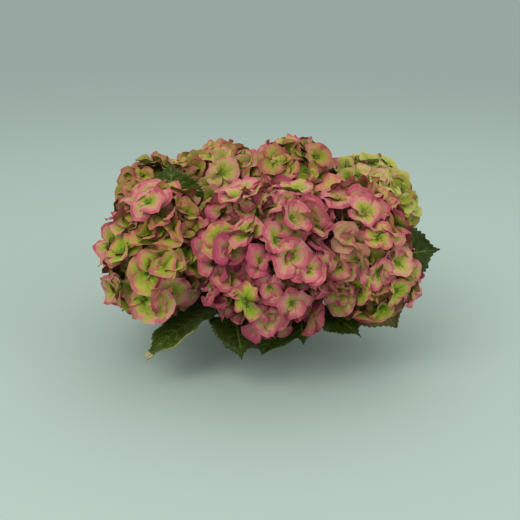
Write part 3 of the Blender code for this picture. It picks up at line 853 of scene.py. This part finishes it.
def blade_shades(looks, swell, far, across, dice):
    """The finish of each face of a blade, by its swelling and its place along the blade and across."""
    names = list(LEAF_SHADES)
    body, swelling, vein, midrib = [names.index(shade) for shade in LEAF_STYLES[looks.style]]
    shades = np.where(dice.random(swell.shape) < 0.35 * swell, swelling, body)
    shades[(swell < 0.45) & (np.abs(across) < 0.9)] = vein
    shades[np.abs(across) < 0.04] = midrib
    shades[far > 1 - looks.dry] = names.index("Dry leaf edge")
    if looks.dry:
        shades[(across < -0.93) & (far > 0.5)] = names.index("Faded leaf edge")
    return shades


def face_means(grid):
    """The mean of a grid's values over the corners of each of its faces."""
    return (grid[:-1, :-1] + grid[1:, :-1] + grid[:-1, 1:] + grid[1:, 1:]) / 4


def blade_faces():
    """Faces of the rows and columns of a blade, with its upper side out."""
    columns = len(BLADE_COLUMNS)
    row, column = np.meshgrid(np.arange(BLADE_ROWS), np.arange(columns - 1), indexing="ij")
    corner = row * columns + column
    return np.stack((corner, corner + 1, corner + columns + 1, corner + columns), axis=-1).reshape(-1, 4)


def shoot_leaves(name):
    """Each leaf of this shoot: its root, the ways it and its upper side point, and its looks."""
    route = shoot_route(name)
    chance = random.Random("leaves of " + name)
    for index, (azimuth, rise, roll, length) in enumerate(SHOOTS[name].leaves):
        pointing = direction(azimuth, rise)
        right = direction(azimuth - 90)
        turn = math.radians(roll)
        upper = right.cross(pointing) * math.cos(turn) + right * math.sin(turn)
        droop = math.radians(LEAF_DROOP * chance.uniform(0.8, 1.2))
        looks = LEAF_LOOKS.get((name, index), USUAL_LEAF)
        root = bezier(route, 0.99 - 0.07 * index)
        yield Leaf(root, pointing, upper, length, droop, looks)


class HYDRANGEA_OT_stool(bpy.types.Operator):
    """Turn the woody stool and furrow its bark"""

    bl_idname = "hydrangea.stool"
    bl_label = "Woody stool"

    def execute(self, context):
        sizes = context.scene.hydrangea_sizes
        bpy.ops.object.select_all(action="DESELECT")
        middle = (0, 0, STOOL_HEIGHT / 2)
        bpy.ops.mesh.primitive_cylinder_add(vertices=STOOL_SPOKES, depth=STOOL_HEIGHT, location=middle)
        stool = context.active_object
        stool.name = "stool_bark"
        bpy.ops.object.transform_apply()
        bpy.ops.object.mode_set(mode="EDIT")
        for level in range(1, STOOL_LEVELS):
            bpy.ops.mesh.select_all(action="SELECT")
            bpy.ops.mesh.bisect(plane_co=(0, 0, STOOL_HEIGHT * level / STOOL_LEVELS), plane_no=(0, 0, 1))
        bpy.ops.object.mode_set(mode="OBJECT")
        profile = (
            (0, STOOL_FOOT_RADIUS),
            (0.10, 0.86 * STOOL_FOOT_RADIUS),
            (0.30, STOOL_WAIST_RADIUS + 0.001),
            (STOOL_WAIST_SHARE, STOOL_WAIST_RADIUS),
            (0.78, STOOL_HEAD_RADIUS - 0.0005),
            (0.90, STOOL_HEAD_RADIUS),
            (1, STOOL_HEAD_RADIUS - 0.002),
        )
        heights, radii = zip(*profile)
        places = np.array([vertex.co for vertex in stool.data.vertices])
        share = places[:, 2] / STOOL_HEIGHT
        around = np.arctan2(places[:, 1], places[:, 0])
        radius = np.interp(share, heights, radii) * (1 + 0.10 * (1 - share) ** 2 * np.cos(5 * around))
        furrow = np.sin(17 * around + 3 * np.sin(5 * share + around)) * np.sin(31 * around + 4 * share)
        radius += 0.5 * sizes.bark_relief * furrow * np.minimum(1, 6 * np.minimum(share, 1 - share))
        places[:, 0] = radius * np.cos(around) + STOOL_LEAN * share
        places[:, 1] = radius * np.sin(around)
        stool.data.vertices.foreach_set("co", places.ravel())
        stool.data.materials.append(bark_finish(context.scene.hydrangea_colours.bark[:]))
        bpy.ops.object.shade_smooth_by_angle(angle=math.radians(50))
        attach(stool, "root")
        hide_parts("main_stem")
        return {"FINISHED"}


class HYDRANGEA_OT_canes(bpy.types.Operator):
    """Grow the skins of the canes, a little swollen at each pair of leaf scars"""

    bl_idname = "hydrangea.canes"
    bl_label = "Canes"

    def execute(self, context):
        skin = cane_finish(context.scene.hydrangea_colours.cane[:])
        share = np.linspace(0, 1, CANE_STEPS + 1)
        taper = CANE_FOOT_RADIUS + (CANE_TIP_RADIUS - CANE_FOOT_RADIUS) * share
        joint = np.exp(-(((share * JOINTS_PER_CANE) % 1 - 0.5) ** 2) / 0.006)
        radii = taper * (1 + JOINT_SWELL * joint)
        for name in BLOOMS:
            places = points_along(cane_route(name), CANE_STEPS)
            tube_piece("cane_skin_" + name, places, radii, 4, skin, ["cane_" + name])
        return {"FINISHED"}


class HYDRANGEA_OT_blooms(bpy.types.Operator):
    """Grow the florets of every bloom and the stalks that carry them"""

    bl_idname = "hydrangea.blooms"
    bl_label = "Mophead blooms"

    def execute(self, context):
        sizes, colours = context.scene.hydrangea_sizes, context.scene.hydrangea_colours
        finishes = sepal_finishes()
        bud = sepal_finish("Flower bud", colours.bud[:])
        stalk = leaf_finish("Floret stalk", colours.stalk[:])
        fine = [Sepal(seed, SEPAL_SPOKES, SEPAL_RINGS, sizes.sepal_wave) for seed in range(SEPAL_VARIANTS)]
        coarse = [Sepal(seed, 4, 3, sizes.sepal_wave) for seed in range(4)]
        # Two layers of fine florets, and a coarse one behind that closes the gaps. Its greener florets
        # are darker, partly the green inside a bloom and partly painted shade in the gaps
        layers = (
            Layer(sizes.floret_spacing, 0, 0.38, fine, 0),
            Layer(sizes.floret_spacing, 0.005, 0.46, fine, 0.06),
            Layer(sizes.floret_spacing * 0.70, 0.024, 0.30, coarse, 0.30),
        )
        bpy.ops.mesh.primitive_ico_sphere_add(subdivisions=1)
        ball = take_mesh(context.active_object)
        for name in BLOOMS:
            sepals, shades, hearts = grow_florets(name, layers, sizes.floret_width)
            node = "bloom_" + name
            mesh_piece("florets_" + name, sepals, shades, finishes, [node])
            inside = list(stalks_and_buds(name, hearts, ball, sizes.bud_width))
            parts = [part for part, _ in inside]
            shades = [shade for (_, faces), shade in inside for _ in faces]
            mesh_piece("stalks_" + name, parts, shades, [stalk, bud], [node])
        return {"FINISHED"}


class HYDRANGEA_OT_leaves(bpy.types.Operator):
    """Grow the leafy shoots and their toothed leaves"""

    bl_idname = "hydrangea.leaves"
    bl_label = "Leaves"

    def execute(self, context):
        sizes, colours = context.scene.hydrangea_sizes, context.scene.hydrangea_colours
        finishes = [leaf_finish(name, linear(value)) for name, value in LEAF_SHADES.items()]
        stalk = leaf_finish("Leaf stalk", colours.stalk[:])
        faces = blade_faces()
        for name in SHOOTS:
            node = "leaves_" + name
            chance = random.Random("blades of " + name)
            dice = np.random.default_rng(sum(map(ord, name)))
            parts, shades, petioles = [], [], []
            for leaf in shoot_leaves(name):
                grown, swell, far, across = blade(leaf, sizes, chance)
                parts.append((grown.reshape(-1, 3), faces))
                shades.append(blade_shades(leaf.looks, swell, far, across, dice).ravel())
                start = np.array(leaf.root)
                end = start + np.array(leaf.pointing) * (PETIOLE_LENGTH + 0.1 * leaf.length)
                end = end - np.array(leaf.upper) * PETIOLE_SINK
                petioles.append(stalk_prism(start, end, *PETIOLE_RADII, 6))
            blades = mesh_piece("blades_" + name, parts, np.concatenate(shades), finishes, [node])
            thickness = blades.modifiers.new("Thickness", "SOLIDIFY")
            thickness.thickness = BLADE_THICKNESS
            thickness.offset = -1
            # Past the end of the list, so that the lower side takes its last finish
            thickness.material_offset = len(finishes)
            select_only(blades)
            bpy.ops.object.modifier_apply(modifier=thickness.name)
            places = points_along(shoot_route(name), SHOOT_STEPS)
            radii = np.linspace(SHOOT_FOOT_RADIUS, SHOOT_TIP_RADIUS, SHOOT_STEPS + 1)
            stem = tube_piece("shoot_" + name, places, radii, 2, stalk, [node])
            select_only(stem, mesh_object("petioles_" + name, petioles, [stalk]))
            bpy.ops.object.join()
        return {"FINISHED"}


class HYDRANGEA_OT_studio(bpy.types.Operator):
    """Lay the floor, light it softly and set the camera"""

    bl_idname = "hydrangea.studio"
    bl_label = "Studio"

    def execute(self, context):
        studio, colours = context.scene.hydrangea_studio, context.scene.hydrangea_colours
        bpy.ops.mesh.primitive_plane_add(size=studio.floor_size)
        floor = context.active_object
        floor.name = "studio_floor"
        material, tree = bare_material("Matt studio floor")
        settings = {"Base Color": (*colours.floor, 1), "Roughness": 0.9}
        shader = add_node(tree, "ShaderNodeBsdfPrincipled", (100, 0), settings)
        floor.data.materials.append(finish_material(material, shader))
        world = bpy.data.worlds.new("Soft studio light")
        world.use_nodes = True
        background = world.node_tree.nodes["Background"]
        background.inputs["Color"].default_value = (*linear("#e8eeec"), 1)
        background.inputs["Strength"].default_value = 0.85
        context.scene.world = world
        # Each softbox's name, place, side in metres, watts and colour
        lamps = (
            ("Key softbox", (-0.9, -1.3, 1.7), 1.3, 21.5, "#fff8ee"),
            ("Top softbox", (0.3, 0.9, 1.9), 1.6, 7, "#fffdf8"),
            ("Fill softbox", (1.6, -1.1, 0.9), 1.2, 10, "#fffaf4"),
        )
        for name, place, size, power, colour in lamps:
            lamp = bpy.data.lights.new(name, "AREA")
            lamp.size = size
            lamp.energy = power
            lamp.color = linear(colour)
            holder = linked(name, lamp)
            holder.location = place
            aim = Vector((0, 0, 0.15)) - Vector(place)
            holder.rotation_euler = aim.to_track_quat("-Z", "Y").to_euler()
        camera = bpy.data.cameras.new("Camera")
        camera.lens = camera.sensor_width / 2 / (studio.view_width / 2 / studio.distance)
        holder = linked("Camera", camera)
        back = Vector((0, -math.cos(studio.elevation), math.sin(studio.elevation)))
        holder.location = Vector((0, 0, studio.aim_height)) + back * studio.distance
        holder.rotation_euler = (-back).to_track_quat("-Z", "Y").to_euler()
        context.scene.camera = holder
        context.scene.view_settings.view_transform = "Standard"
        return {"FINISHED"}


class HYDRANGEA_PT_panel(bpy.types.Panel):
    """Lists the plant's pieces and sizes"""

    bl_idname = "HYDRANGEA_PT_panel"
    bl_label = "Hydrangea"
    bl_space_type = "VIEW_3D"
    bl_region_type = "UI"
    bl_category = "Hydrangea"

    def draw(self, context):
        for operator in OPERATORS:
            self.layout.operator(operator.bl_idname)
        for kind in GROUPS:
            group = getattr(context.scene, kind)
            for name in group.__annotations__:
                self.layout.prop(group, name)


OPERATORS = (
    HYDRANGEA_OT_stool,
    HYDRANGEA_OT_canes,
    HYDRANGEA_OT_blooms,
    HYDRANGEA_OT_leaves,
    HYDRANGEA_OT_studio,
)
GROUPS = {
    "hydrangea_sizes": HydrangeaSizes,
    "hydrangea_colours": HydrangeaColours,
    "hydrangea_studio": HydrangeaStudio,
}


def register():
    for group in GROUPS.values():
        bpy.utils.register_class(group)
    for name, group in GROUPS.items():
        setattr(bpy.types.Scene, name, PointerProperty(type=group))
    for operator in OPERATORS:
        bpy.utils.register_class(operator)
    bpy.utils.register_class(HYDRANGEA_PT_panel)


def unregister():
    bpy.utils.unregister_class(HYDRANGEA_PT_panel)
    for operator in reversed(OPERATORS):
        bpy.utils.unregister_class(operator)
    for name, group in GROUPS.items():
        delattr(bpy.types.Scene, name)
        bpy.utils.unregister_class(group)


def main():
    register()
    bpy.ops.hydrangea.stool()
    bpy.ops.hydrangea.canes()
    bpy.ops.hydrangea.blooms()
    bpy.ops.hydrangea.leaves()
    bpy.ops.hydrangea.studio()


if __name__ == "__main__":
    main()
